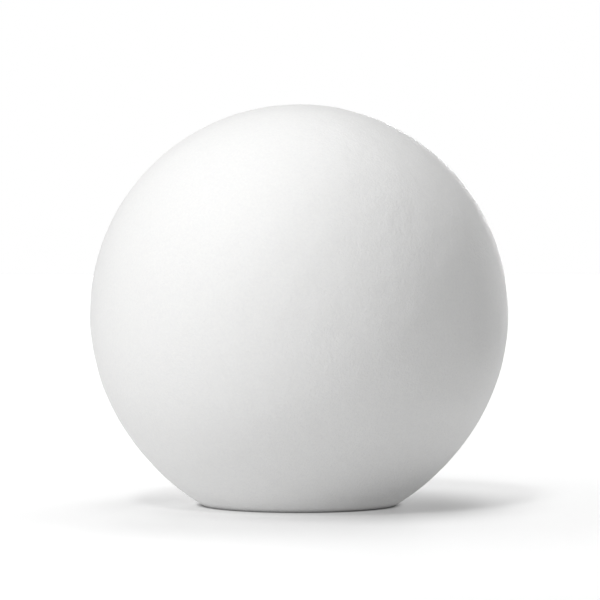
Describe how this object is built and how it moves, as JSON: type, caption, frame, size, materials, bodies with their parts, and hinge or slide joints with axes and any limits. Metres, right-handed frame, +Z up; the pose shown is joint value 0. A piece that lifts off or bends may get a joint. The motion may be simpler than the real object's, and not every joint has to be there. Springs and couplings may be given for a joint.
{
  "type": "ball finial",
  "caption": "Plain white ball finial without a plinth: a smooth moulded ball cut flat below into a round foot, to stand on a gate post, pier cap or roof.",
  "frame": {"origin": "centre of the foot's flat underside, on the surface that the finial stands on", "axes": "+Z up along the ball's axis of revolution, from the foot to the crown; +X to the right and -Y towards the viewer of the picture, though the form is the same from every side"},
  "size_m": [0.4508, 0.4508, 0.4318],
  "materials": {
    "primed_urethane": "matt white factory primer over moulded high-density polyurethane, with a very fine pebbled skin"
  },
  "bodies": {
    "root": {"ball_finial": "primed_urethane"}
  },
  "joints": []
}
